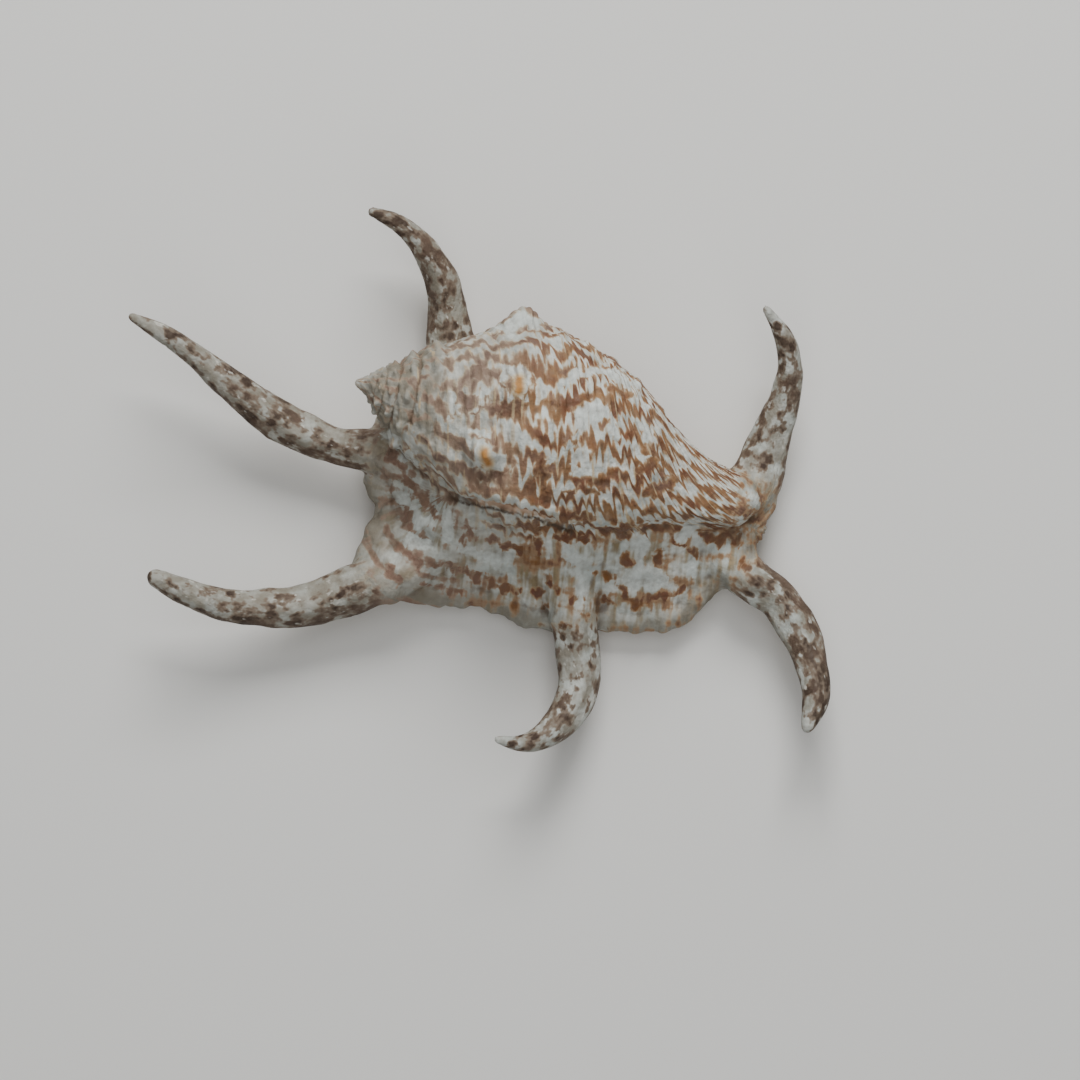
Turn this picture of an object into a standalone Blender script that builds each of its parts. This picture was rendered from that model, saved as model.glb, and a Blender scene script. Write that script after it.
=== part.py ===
"""Chiragra spider conch shell, resting on its aperture side.

The shell grew as one piece, so it is one object. Its parts are lofted one by one and
then fused: the coiled body with its spire and knobs, the flared outer lip, and the six
horn-like digits. A curved mouth is cut up into the body from below.

Frame: +Z is up, from the aperture side to the back of the shell. +X runs from the spire
to the front end. The outer lip is on the -Y side. Z = 0 is the surface it rests on.
"""

import math

import bmesh
import bpy
import numpy as np
from mathutils import Vector

MM = 0.001

# The body is a coil whose axis runs from the apex to the front canal.
APEX = Vector((-30.4, 23.6, 28.6)) * MM
AXIS_TURN = math.radians(-17)  # in plan, from +X
AXIS_DIP = math.radians(7.5)  # the front end lies lower than the apex
HEIGHT_SHARE = 0.95  # the coil is a little lower than it is wide
# Distance along the axis and radius in mm, on the side away from the lip
BODY_OUTLINE = [
    (0, 0.3), (1.2, 0.9), (2.8, 1.7), (5.5, 4.4), (8, 6.6), (14, 11.4), (20, 15.8), (26, 19.5), (32, 23.0),
    (38, 25.5), (44, 26.2), (52, 25.0), (60, 22.7), (67, 19.5), (74, 15.1), (81, 10.4), (88, 7.6),
    (95, 6.2), (101, 4.6), (104, 1.2),
]  # fmt: skip
LAST_TURN_GROWTH = 1.18  # in radius over the last whorl
GROWTH_START = -math.pi / 2  # from the back, the side whose outline is given
COIL_END = math.radians(32)  # from the back, where the last whorl starts to turn into the lip
COIL_FADE = math.radians(38)  # over which the radius falls to that of the whorl before
FRONT_FULLNESS = 0.4  # added to the radius on the lip side, in front, as a share of it
FRONT_FULL_FROM = 62 * MM  # along the axis
FRONT_FULL_OVER = 28 * MM
FRONT_FULL_SIDE = math.radians(65)
FRONT_FULL_SPREAD = math.radians(50)

# The spire's sutures follow a spiral that shrinks towards the apex.
LAST_SUTURE = 20 * MM  # from the apex, on the shell's back
SUTURE_GROWTH = 1.42  # in each turn
WHORL_BULGE = 0.085  # as a share of the radius
WHORL_SKEW = 0.7  # under 1 puts the fullest place nearer to the next whorl
NODULE_BULGE = 0.05
NODULE_PLACE = 0.3  # of the way up from a suture to the next
NODULE_WIDTH = 0.16
NODULES_PER_TURN = 9
SHOULDER = 8 * MM  # over which the last whorl takes its full size

# Knobs of the last whorl: place along the axis, angle from the back, height and spread
KNOBS = [
    (33.9, -84, 5.3, 4.6),
    (35.0, -48, 1.6, 3.2),
    (35.7, -19, 3.0, 2.8),
    (32.5, 17, 4.4, 3.0),
    (33.5, -126, 2.4, 3.6),
]
RIBS = [44.5, 51.5, 58.5, 65.5, 72.5]  # low spiral ribs, in mm along the axis
RIB_HEIGHT = 0.45 * MM
RIB_SPREAD = 1.4 * MM

# The lip's top climbs from the rim to this keel inside the body: x, y, z in mm.
KEEL = [
    (-13.5, 11.9, 19.0),
    (-6.5, -4.5, 29.5),
    (4.0, -7.8, 32.5),
    (20.0, -11.2, 31.0),
    (37.0, -11.4, 25.0),
    (53.0, -9.8, 19.5),
    (62.0, -3.8, 14.5),
]
KEEL_STEPS = 20  # between two of its points
# Middle of the lip's rim, and the place on the keel, from 0 to 6, that it climbs to
RIM = [
    (-26.5, 13.2, 9.9, 0.0), (-28.7, 0.6, 9.0, 0.5), (-26.3, -6.8, 8.0, 1.0), (-28.5, -13.8, 7.5, 1.2),
    (-31.8, -20.6, 7.4, 1.4), (-27.3, -25.8, 7.0, 1.6), (-18.3, -30.1, 6.0, 1.9), (-9.8, -30.8, 5.2, 2.1),
    (-1.3, -31.4, 4.8, 2.35), (4.7, -33.5, 4.8, 2.55), (13.2, -36.5, 5.0, 2.8), (20.5, -38.2, 5.5, 3.1),
    (28.5, -37.2, 5.0, 3.45), (38.7, -37.7, 4.6, 3.95), (48.4, -36.2, 4.6, 4.4), (53.9, -31.3, 5.0, 4.7),
    (58.8, -27.3, 6.0, 5.0), (64.3, -25.6, 7.4, 5.25), (67.2, -16.9, 8.8, 5.45), (70.2, -10.0, 9.2, 5.65),
    (73.0, -2.2, 9.2, 5.9), (64.3, 2.2, 9.6, 6.0), (46.0, 7.0, 10.0, 4.6), (33.9, 16.8, 10.0, 3.8),
    (19.3, 23.0, 9.0, 3.0), (4.7, 25.0, 8.0, 2.0), (-9.0, 29.0, 8.0, 1.2), (-19.5, 23.0, 8.8, 0.4),
]  # fmt: skip
RIM_HALF = 4.7 * MM  # half the rim's thickness
RIM_TILTS = np.radians(np.arange(-67.5, 91, 22.5))  # round the rim, from below to its top
CLIMB_STEPS = np.array([1, 2, 3, 4, 5, 6]) / 6  # from the rim to the keel
CLIMB_POWER = 1.15  # over 1 makes the lip's top flatter near the rim
UNDERSIDE = 1.6 * MM  # height of the lip's underside
UNDERSIDE_STEPS = (1.0, 0.6, 0.25, 0.12)  # from the keel to the rim
# Places where the underside swells down to the surface that the shell rests on
PADS = [(-21, -20), (-7, 27), (47, -30), (61, -9)]
PAD_DROP = 2.2 * MM
PAD_SPREAD = 11 * MM

# The six digits from inside the lip to the tip: x, y, z and radius in mm
DIGITS = {
    "rear inner": [
        (-6.0, 24.0, 8.5, 6.8), (-7.3, 32.5, 6.8, 6.1), (-8.2, 42.0, 8.4, 4.8), (-9.4, 48.3, 10.8, 4.3),
        (-12.1, 54.0, 14.0, 3.6), (-15.9, 58.8, 17.0, 2.8), (-20.8, 62.6, 19.8, 2.2),
        (-26.6, 64.9, 22.0, 1.4),
    ],
    "rear outer": [
        (-11.0, 5.0, 17.0, 7.0), (-23.4, 6.6, 13.0, 5.8), (-33.9, 8.0, 11.4, 4.5),
        (-44.1, 11.8, 12.2, 5.0), (-53.5, 17.3, 14.4, 4.7), (-62.1, 24.0, 17.4, 3.8),
        (-70.3, 30.8, 20.8, 2.8), (-76.7, 35.2, 23.2, 2.4), (-84.7, 39.4, 26.0, 1.1),
    ],
    "side rear": [
        (-5.0, -11.0, 14.6, 6.0), (-18.0, -20.8, 12.8, 6.6), (-27.0, -25.2, 11.6, 6.1),
        (-34.3, -28.0, 10.6, 6.0), (-43.0, -30.6, 11.2, 5.3), (-52.4, -31.4, 13.0, 4.7),
        (-62.0, -30.6, 16.0, 4.1), (-71.1, -27.7, 19.6, 3.4), (-79.3, -23.6, 23.0, 2.3),
    ],
    "side middle": [
        (20.0, -18.5, 14.0, 6.0), (22.2, -30.0, 11.2, 6.2), (23.4, -40.5, 9.8, 5.4), (23.9, -49.7, 10.6, 5.2),
        (21.4, -56.6, 13.4, 4.6), (16.1, -62.1, 17.4, 3.6), (10.1, -64.2, 20.6, 2.3), (3.8, -63.0, 23.6, 1.1),
    ],
    "side front": [
        (54.0, -13.0, 8.4, 5.4), (65.0, -23.6, 10.0, 5.5), (72.1, -28.7, 9.6, 4.8), (77.0, -35.8, 10.6, 5.0),
        (80.1, -42.8, 12.6, 4.3), (81.7, -50.4, 15.6, 3.7), (81.1, -55.4, 17.8, 3.1),
        (79.2, -60.7, 20.2, 1.7),
    ],
    "front canal": [
        (57.0, -7.0, 11.5, 6.4), (66.2, -1.8, 9.6, 6.8), (69.2, 5.1, 9.4, 5.8), (71.7, 12.4, 11.0, 4.8),
        (74.2, 19.7, 13.8, 3.9), (75.3, 27.4, 17.2, 3.1), (73.6, 34.5, 20.8, 2.4), (68.9, 41.5, 24.6, 1.1),
    ],
}  # fmt: skip
TIP_ROUNDING = 0.7  # length of the rounded tip, in tip radii
TIP_END = 0.35  # radius of the tip's last ring, in tip radii

# The mouth's hollow: place along the axis, inner and outer radius in mm
MOUTH = [
    (21, 11.6, 12.6), (26, 13.0, 15.6), (32, 14.2, 18.8), (40, 14.8, 20.8), (50, 14.2, 20.0),
    (60, 11.8, 17.2), (68, 9.0, 14.0), (76, 5.8, 10.4), (84, 3.6, 7.2), (92, 2.2, 4.8), (100, 1.4, 3.0),
]  # fmt: skip
MOUTH_RINGS = 26
MOUTH_ARC_POINTS = 12
MOUTH_ROOF = math.radians(12)  # from the back, how far up the hollow reaches
MOUTH_FLOOR = math.radians(138)  # where the hollow turns down into the slit
SLIT_EDGES = [math.radians(166), math.radians(148)]  # at the surface it rests on
CUT_BELOW = 6 * MM

RING_POINTS = 96
RING_COUNT = 90
RING_CROWDING = 1.35  # over 1 puts the rings closer together on the spire
RIM_POINTS = 160
DIGIT_SIDES = 20
DIGIT_RINGS = 6  # between two of its points
FUSE_VOXEL = 0.9 * MM
SMOOTHING_STEPS = 4
KEPT_SHARE = 0.084  # of the fused surface's faces


def smooth_curve(points, count, closed=False):
    """Rows of numbers along a smooth curve through the given rows (Catmull-Rom)."""
    rows = np.array(points, float)
    if closed:
        rows = np.vstack([rows[-1:], rows, rows[:2]])
    else:
        rows = np.vstack([2 * rows[0] - rows[1], rows, 2 * rows[-1] - rows[-2]])
    spans = len(rows) - 3
    made = []
    for place in np.linspace(0, spans, count, endpoint=not closed):
        first = min(int(place), spans - 1)
        t = place - first
        a, b, c, d = rows[first : first + 4]
        bend = 2 * a - 5 * b + 4 * c - d
        made.append(b + 0.5 * t * (c - a + t * (bend + t * (3 * b - a - 3 * c + d))))
    return np.array(made)


def smooth_step(share):
    share = min(max(share, 0.0), 1.0)
    return share * share * (3 - 2 * share)


def bell(distance, spread):
    return math.exp(-((distance / spread) ** 2))


def loft(mesh, rings):
    """Add a closed tube through rings of points, with a cap at each end."""
    rows = [[mesh.verts.new(point) for point in ring] for ring in rings]
    made = []
    for near, far in zip(rows, rows[1:]):
        for i in range(len(near)):
            j = (i + 1) % len(near)
            made.append(mesh.faces.new((near[i], near[j], far[j], far[i])))
    made.append(mesh.faces.new(rows[0][::-1]))
    made.append(mesh.faces.new(rows[-1]))
    bmesh.ops.recalc_face_normals(mesh, faces=made)


def add_object(name, mesh):
    data = bpy.data.meshes.new(name)
    mesh.to_mesh(data)
    mesh.free()
    made = bpy.data.objects.new(name, data)
    bpy.context.scene.collection.objects.link(made)
    return made


def coil_point(along, radius, turn, height_share=HEIGHT_SHARE):
    """A point at a place along the coil's axis, and an angle from the back towards the lip."""
    axis = Vector((math.cos(AXIS_TURN), math.sin(AXIS_TURN), 0)) * math.cos(AXIS_DIP)
    axis.z = -math.sin(AXIS_DIP)
    lip_side = Vector((math.sin(AXIS_TURN), -math.cos(AXIS_TURN), 0))
    back = lip_side.cross(axis)
    return APEX + axis * along + (back * math.cos(turn) * height_share + lip_side * math.sin(turn)) * radius


OUTLINE_CURVE = smooth_curve(BODY_OUTLINE, 400) * MM


def knob_height(along, turn, radius):
    height = 0.0
    for place, knob_turn, knob, spread in KNOBS:
        aside = turn - math.radians(knob_turn)
        aside = math.atan2(math.sin(aside), math.cos(aside)) * radius
        height += knob * MM * bell(math.hypot(along - place * MM, aside), spread * MM)
    return height


def spire_swell(along, turn, suture):
    """How much the spire's rounded whorls and nodules add to the radius, as a share of it."""
    whorls_up = math.log(suture / max(along, 0.1 * MM)) / math.log(SUTURE_GROWTH)
    across = whorls_up % 1.0
    bulge = WHORL_BULGE * math.sin(math.pi * across**WHORL_SKEW)
    nodule = max(0.0, math.cos(NODULES_PER_TURN * turn)) * bell(across - NODULE_PLACE, NODULE_WIDTH)
    return bulge + NODULE_BULGE * nodule


def last_whorl_growth(turn, wound):
    grown = LAST_TURN_GROWTH ** ((wound - GROWTH_START) / math.tau)
    if turn <= COIL_END:
        return grown
    ended = LAST_TURN_GROWTH ** ((COIL_END - GROWTH_START) / math.tau)
    return ended + (grown - ended) * smooth_step((turn - COIL_END) / COIL_FADE)


def body_radius(along, turn):
    """The coil's radius; turn is from -180 to 180 degrees, 0 on the back."""
    radius = float(np.interp(along, OUTLINE_CURVE[:, 0], OUTLINE_CURVE[:, 1]))
    wound = turn if turn <= COIL_END else turn - math.tau
    suture = LAST_SUTURE * SUTURE_GROWTH ** (wound / math.tau)
    if along < suture:
        return radius * (1 + spire_swell(along, turn, suture))
    in_body = smooth_step((along - suture) / SHOULDER)
    radius *= 1 + (last_whorl_growth(turn, wound) - 1) * in_body
    in_front = smooth_step((along - FRONT_FULL_FROM) / FRONT_FULL_OVER)
    radius *= 1 + FRONT_FULLNESS * in_front * bell(turn - FRONT_FULL_SIDE, FRONT_FULL_SPREAD)
    ribs = sum(bell(along - place * MM, RIB_SPREAD) for place in RIBS)
    return radius + knob_height(along, turn, radius) + RIB_HEIGHT * ribs * in_body


def add_body(mesh):
    length = OUTLINE_CURVE[-1, 0]
    turns = [-math.pi + math.tau * (i + 0.5) / RING_POINTS for i in range(RING_POINTS)]
    rings = []
    for i in range(RING_COUNT + 1):
        along = length * (i / RING_COUNT) ** RING_CROWDING
        rings.append([coil_point(along, body_radius(along, turn), turn) for turn in turns])
    loft(mesh, rings)


def underside(x, y):
    near = max(bell(math.hypot(x - px * MM, y - py * MM), PAD_SPREAD) for px, py in PADS)
    return UNDERSIDE - PAD_DROP * near


def add_lip(mesh):
    """A dished plate: a round rim along the shell's outline, and a top that climbs to the keel."""
    rim = smooth_curve(RIM, RIM_POINTS, closed=True)
    keel = smooth_curve(KEEL, (len(KEEL) - 1) * KEEL_STEPS + 1)
    places = np.linspace(0, len(KEEL) - 1, len(keel))
    top = np.stack([np.interp(rim[:, 3], places, keel[:, k]) for k in range(3)], axis=1) * MM
    out, middle = rim[:, :2] * MM, rim[:, 2] * MM
    across = top[:, :2] - out
    inward = across / np.linalg.norm(across, axis=1)[:, None]
    rings = []
    for share in UNDERSIDE_STEPS:
        flat = out + across * share
        rings.append(np.column_stack([flat, [underside(x, y) for x, y in flat]]))
    for tilt in RIM_TILTS:
        flat = out + inward * RIM_HALF * (1 - math.cos(tilt))
        rings.append(np.column_stack([flat, middle + RIM_HALF * math.sin(tilt)]))
    start, base = rings[-1][:, :2], rings[-1][:, 2]
    for share in CLIMB_STEPS:
        flat = start + (top[:, :2] - start) * share
        rings.append(np.column_stack([flat, base + (top[:, 2] - base) * share**CLIMB_POWER]))
    loft(mesh, rings)


def add_digit(mesh, points):
    """A round horn through rows of x, y, z and radius, with a rounded tip."""
    rows = smooth_curve(points, DIGIT_RINGS * len(points)) * MM
    centres = [Vector(row[:3]) for row in rows]
    rings = []
    side = Vector((0, 0, 1))
    for i, centre in enumerate(centres):
        ahead = (centres[min(i + 1, len(rows) - 1)] - centres[max(i - 1, 0)]).normalized()
        side = (side - ahead * side.dot(ahead)).normalized()
        across = ahead.cross(side)
        angles = [math.tau * k / DIGIT_SIDES for k in range(DIGIT_SIDES)]
        rings.append([centre + (side * math.cos(a) + across * math.sin(a)) * rows[i, 3] for a in angles])
    tip = centres[-1] + ahead * rows[-1, 3] * TIP_ROUNDING
    rings.append([tip + (point - centres[-1]) * TIP_END for point in rings[-1]])
    loft(mesh, rings)


def mouth_cutter():
    """The hollow round the inner pillar, open downwards as a curved slit."""
    rings = []
    turns = np.linspace(MOUTH_ROOF, MOUTH_FLOOR, MOUTH_ARC_POINTS)
    for along, inner, outer in smooth_curve(MOUTH, MOUTH_RINGS) * MM:
        depth = coil_point(along, 0, 0).z + CUT_BELOW
        ring = [coil_point(along, inner, turn) for turn in turns]
        ring += [coil_point(along, -depth / math.cos(turn), turn, 1.0) for turn in SLIT_EDGES]
        ring += [coil_point(along, outer, turn) for turn in turns[::-1]]
        rings.append(ring)
    mesh = bmesh.new()
    loft(mesh, rings)
    return hidden(add_object("mouth_cutter", mesh))


def ground_cutter():
    """Everything under the surface that the shell rests on."""
    mesh = bmesh.new()
    bmesh.ops.create_cube(mesh, size=0.4)
    bmesh.ops.translate(mesh, vec=(0, 0, -0.2), verts=mesh.verts)
    return hidden(add_object("ground_cutter", mesh))


def hidden(cutter):
    cutter.hide_render = True
    cutter.display_type = "WIRE"
    return cutter


def add_modifier(obj, kind, **settings):
    made = obj.modifiers.new(kind.lower(), kind)
    for name, value in settings.items():
        setattr(made, name, value)
    return made


def cut(obj, cutter):
    add_modifier(obj, "BOOLEAN", operation="DIFFERENCE", solver="EXACT", object=cutter)


def mottled_shell():
    made = bpy.data.materials.new("mottled_shell")
    made.use_nodes = True
    shader = made.node_tree.nodes["Principled BSDF"]
    shader.inputs["Base Color"].default_value = (0.46, 0.36, 0.28, 1)
    shader.inputs["Roughness"].default_value = 0.5
    shader.inputs["Metallic"].default_value = 0.0
    return made


def make_shell():
    mesh = bmesh.new()
    add_body(mesh)
    add_lip(mesh)
    for points in DIGITS.values():
        add_digit(mesh, points)
    shell = add_object("shell", mesh)
    add_modifier(shell, "REMESH", mode="VOXEL", voxel_size=FUSE_VOXEL)
    cut(shell, mouth_cutter())
    add_modifier(shell, "REMESH", mode="VOXEL", voxel_size=FUSE_VOXEL)
    add_modifier(shell, "SMOOTH", factor=0.5, iterations=SMOOTHING_STEPS)
    add_modifier(shell, "DECIMATE", decimate_type="COLLAPSE", ratio=KEPT_SHARE, use_collapse_triangulate=True)
    cut(shell, ground_cutter())
    shell.data.materials.append(mottled_shell())
    return shell


for old in list(bpy.data.objects):
    bpy.data.objects.remove(old)
make_shell()
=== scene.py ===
"""A chiragra spider conch shell, lying on its aperture side and seen from above.

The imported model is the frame. One finely sculpted mesh, with the shell's cords, knobs,
growth folds and colour marks, stands in its place. Lengths are in millimetres until the
mesh is made.
"""

import math

import bmesh
import bpy
import numpy as np
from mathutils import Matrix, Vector


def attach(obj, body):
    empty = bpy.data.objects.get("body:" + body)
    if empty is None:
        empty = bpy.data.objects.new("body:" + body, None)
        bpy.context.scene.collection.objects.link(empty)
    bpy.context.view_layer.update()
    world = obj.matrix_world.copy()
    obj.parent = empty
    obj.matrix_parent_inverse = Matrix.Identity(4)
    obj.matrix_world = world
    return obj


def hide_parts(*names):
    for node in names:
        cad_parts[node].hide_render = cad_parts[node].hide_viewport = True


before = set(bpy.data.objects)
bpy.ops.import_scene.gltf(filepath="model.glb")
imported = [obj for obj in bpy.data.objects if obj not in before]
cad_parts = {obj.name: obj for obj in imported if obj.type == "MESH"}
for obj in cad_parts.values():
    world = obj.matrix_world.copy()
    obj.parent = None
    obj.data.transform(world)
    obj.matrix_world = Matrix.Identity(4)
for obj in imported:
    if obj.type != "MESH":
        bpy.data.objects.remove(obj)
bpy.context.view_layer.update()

# The coiled body
# The shell's first and largest part: a tube of aragonite wound round an axis, with a
# knobbed spire behind and a body whorl in front. The animal laid it down turn by turn at
# the mouth's edge, so its cords run round it and its growth lines run along it.

MM = 0.001
APEX = np.array([-30.4, 23.6, 28.6])
AXIS_TURN = math.radians(-17)
AXIS_DIP = math.radians(7.5)
HEIGHT_SHARE = 0.95
BODY_OUTLINE = [
    (0, 0.3), (1.2, 0.9), (2.8, 1.7), (5.5, 4.4), (8, 6.6), (14, 11.4), (20, 15.8), (26, 19.5), (32, 23.0),
    (38, 25.5), (44, 26.2), (52, 25.0), (60, 22.7), (67, 19.5), (74, 15.1), (81, 10.4), (88, 7.6),
    (95, 6.2), (101, 4.6), (104, 1.2),
]  # fmt: skip
LAST_TURN_GROWTH = 1.18
COIL_END = math.radians(32)
COIL_FADE = math.radians(38)
LAST_SUTURE = 20.0
SUTURE_GROWTH = 1.42
WHORL_BULGE = 0.085
SHOULDER = 8.0
# Place along the axis, angle from the back towards the lip in degrees, height, spread
KNOBS = [
    (33.9, -84, 5.3, 4.6),
    (35.0, -48, 1.6, 3.2),
    (35.7, -19, 3.0, 2.8),
    (32.5, 17, 4.4, 3.0),
    (33.5, -126, 2.4, 3.6),
]
RIBS = [44.5, 51.5, 58.5, 65.5, 72.5]
RIB_HEIGHT = 0.45
RIB_SPREAD = 1.4
FRONT_FULLNESS = 0.4
FRONT_FULL_FROM = 62.0
FRONT_FULL_OVER = 28.0
FRONT_FULL_SIDE = math.radians(65)
FRONT_FULL_SPREAD = math.radians(50)
BODY_RINGS = 221
BODY_RING_POINTS = 240
APEX_CROWDING = 1.35

AXIS = np.array([
    math.cos(AXIS_TURN) * math.cos(AXIS_DIP), math.sin(AXIS_TURN) * math.cos(AXIS_DIP), -math.sin(AXIS_DIP)
])  # fmt: skip
LIP_SIDE = np.array([math.sin(AXIS_TURN), -math.cos(AXIS_TURN), 0.0])
BACK = np.cross(LIP_SIDE, AXIS)


def smooth_curve(points, count, closed=False):
    """Rows of numbers along a smooth curve through the given rows (Catmull-Rom)."""
    rows = np.array(points, float)
    if closed:
        rows = np.vstack([rows[-1:], rows, rows[:2]])
    else:
        rows = np.vstack([2 * rows[0] - rows[1], rows, 2 * rows[-1] - rows[-2]])
    spans = len(rows) - 3
    places = np.linspace(0, spans, count, endpoint=not closed)
    first = np.minimum(places.astype(int), spans - 1)
    t = (places - first)[:, None]
    a, b, c, d = (rows[first + k] for k in range(4))
    return b + 0.5 * t * (c - a + t * (2 * a - 5 * b + 4 * c - d + t * (3 * b - a - 3 * c + d)))


def smooth_step(share):
    share = np.clip(share, 0.0, 1.0)
    return share * share * (3 - 2 * share)


def bell(distance, spread):
    return np.exp(-((distance / spread) ** 2))


def coil_point(along, radius, turn, height_share=HEIGHT_SHARE):
    along, radius, turn = (np.asarray(v, float)[..., None] for v in (along, radius, turn))
    return APEX + AXIS * along + (BACK * np.cos(turn) * height_share + LIP_SIDE * np.sin(turn)) * radius


def coil_place(points):
    """Place along the axis, angle from the back towards the lip, and radius."""
    from_apex = points - APEX
    up = from_apex @ BACK / HEIGHT_SHARE
    side = from_apex @ LIP_SIDE
    return from_apex @ AXIS, np.arctan2(side, up), np.hypot(side, up)


def wound_angle(turn):
    """Angle along the last whorl, which ends in the lip."""
    return np.where(turn <= COIL_END, turn, turn - math.tau)


def suture_place(turn):
    return LAST_SUTURE * SUTURE_GROWTH ** (wound_angle(turn) / math.tau)


def whorl_share(along, turn):
    """On the spire, the share of the way up from a suture to the next."""
    return (np.log(suture_place(turn) / np.maximum(along, 0.1)) / math.log(SUTURE_GROWTH)) % 1.0


OUTLINE_CURVE = smooth_curve(BODY_OUTLINE, 400)


def body_radius(along, turn):
    radius = np.interp(along, OUTLINE_CURVE[:, 0], OUTLINE_CURVE[:, 1])
    spire = radius * (1 + WHORL_BULGE * np.sin(math.pi * whorl_share(along, turn) ** 0.7))
    in_body = smooth_step((along - suture_place(turn)) / SHOULDER)
    grown = LAST_TURN_GROWTH ** (wound_angle(turn) / math.tau + 0.25)
    ended = LAST_TURN_GROWTH ** (COIL_END / math.tau + 0.25)
    past_end = smooth_step((turn - COIL_END) / COIL_FADE)
    grown = np.where(turn > COIL_END, ended + (grown - ended) * past_end, grown)
    full = FRONT_FULLNESS * smooth_step((along - FRONT_FULL_FROM) / FRONT_FULL_OVER)
    full = full * bell(turn - FRONT_FULL_SIDE, FRONT_FULL_SPREAD)
    body = radius * (1 + (grown - 1) * in_body) * (1 + full)
    for place in RIBS:
        body = body + RIB_HEIGHT * in_body * bell(along - place, RIB_SPREAD)
    for place, knob_turn, height, spread in KNOBS:
        aside = np.angle(np.exp(1j * (turn - math.radians(knob_turn)))) * radius
        body = body + height * bell(np.hypot(along - place, aside), spread)
    return np.where(along < suture_place(turn), spire, body)


def loft(rings):
    """Points and faces of a closed tube through rings of points, capped at both ends."""
    points = np.concatenate(rings)
    size = len(rings[0])
    faces = [tuple(range(size))[::-1]]
    for i in range(len(rings) - 1):
        for k in range(size):
            near, far = i * size + k, i * size + (k + 1) % size
            faces.append((near, far, far + size, near + size))
    faces.append(tuple(range(len(points) - size, len(points))))
    return points, faces


def coiled_body():
    turns = np.linspace(-math.pi, math.pi, BODY_RING_POINTS + 1)[:-1]
    rings = []
    for share in np.linspace(0, 1, BODY_RINGS):
        along = np.full(BODY_RING_POINTS, OUTLINE_CURVE[-1, 0] * share**APEX_CROWDING)
        rings.append(coil_point(along, body_radius(along, turns), turns))
    return loft(rings)


# The flared outer lip
# A grown shell ends in a thick lip that spreads flat round the mouth. Its top climbs from
# a rounded, lumpy rim to the body whorl, and its cords fan out towards the digits.

KEEL = [
    (-13.5, 11.9, 19.0),
    (-6.5, -4.5, 29.5),
    (4.0, -7.8, 32.5),
    (20.0, -11.2, 31.0),
    (37.0, -11.4, 25.0),
    (53.0, -9.8, 19.5),
    (62.0, -3.8, 14.5),
]
RIM = [
    (-26.5, 13.2, 9.9, 0.0), (-28.7, 0.6, 9.0, 0.5), (-26.3, -6.8, 8.0, 1.0), (-28.5, -13.8, 7.5, 1.2),
    (-31.8, -20.6, 7.4, 1.4), (-27.3, -25.8, 7.0, 1.6), (-18.3, -30.1, 6.0, 1.9), (-9.8, -30.8, 5.2, 2.1),
    (-1.3, -31.4, 4.8, 2.35), (4.7, -33.5, 4.8, 2.55), (13.2, -36.5, 5.0, 2.8), (20.5, -38.2, 5.5, 3.1),
    (28.5, -37.2, 5.0, 3.45), (38.7, -37.7, 4.6, 3.95), (48.4, -36.2, 4.6, 4.4), (53.9, -31.3, 5.0, 4.7),
    (58.8, -27.3, 6.0, 5.0), (64.3, -25.6, 7.4, 5.25), (67.2, -16.9, 8.8, 5.45), (70.2, -10.0, 9.2, 5.65),
    (73.0, -2.2, 9.2, 5.9), (64.3, 2.2, 9.6, 6.0), (46.0, 7.0, 10.0, 4.6), (33.9, 16.8, 10.0, 3.8),
    (19.3, 23.0, 9.0, 3.0), (4.7, 25.0, 8.0, 2.0), (-9.0, 29.0, 8.0, 1.2), (-19.5, 23.0, 8.8, 0.4),
]  # fmt: skip
RIM_HALF = 4.7
CLIMB_POWER = 1.15
UNDERSIDE = 1.6
PADS = [(-21, -20), (-7, 27), (47, -30), (61, -9)]
PAD_DROP = 2.2
PAD_SPREAD = 11.0
UNDERSIDE_RINGS = (1.0, 0.6, 0.25, 0.12)
RIM_TILTS = np.radians(np.linspace(-67.5, 90, 11))
CLIMB_RINGS = 15
KEEL_POINTS = 121
RIM_CURVE = smooth_curve(RIM, 240, closed=True)


def underside(x, y):
    near = [bell(np.hypot(x - pad_x, y - pad_y), PAD_SPREAD) for pad_x, pad_y in PADS]
    return UNDERSIDE - PAD_DROP * np.max(near, axis=0)


def outer_lip():
    keel = smooth_curve(KEEL, KEEL_POINTS)
    stations = np.linspace(0, len(KEEL) - 1, KEEL_POINTS)
    top = np.stack([np.interp(RIM_CURVE[:, 3], stations, keel[:, k]) for k in range(3)], axis=1)
    out, inner = RIM_CURVE[:, :2], top[:, :2]
    inward = (inner - out) / np.linalg.norm(inner - out, axis=1)[:, None]
    rings = []
    for share in UNDERSIDE_RINGS:
        flat = out + (inner - out) * share
        rings.append(np.column_stack([flat, underside(flat[:, 0], flat[:, 1])]))
    for tilt in RIM_TILTS:
        flat = out + inward * RIM_HALF * (1 - math.cos(tilt))
        rings.append(np.column_stack([flat, RIM_CURVE[:, 2] + RIM_HALF * math.sin(tilt)]))
    start, base = rings[-1][:, :2], rings[-1][:, 2]
    for share in np.linspace(0, 1, CLIMB_RINGS + 1)[1:]:
        climb = base + (top[:, 2] - base) * share**CLIMB_POWER
        rings.append(np.column_stack([start + (inner - start) * share, climb]))
    return loft(rings)


# The six digits
# Hollow horns that the lip grew when the shell was full-sized, later filled with shell.
# Five stand on the lip, two of them beside the spire, and the sixth is the front canal.

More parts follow.
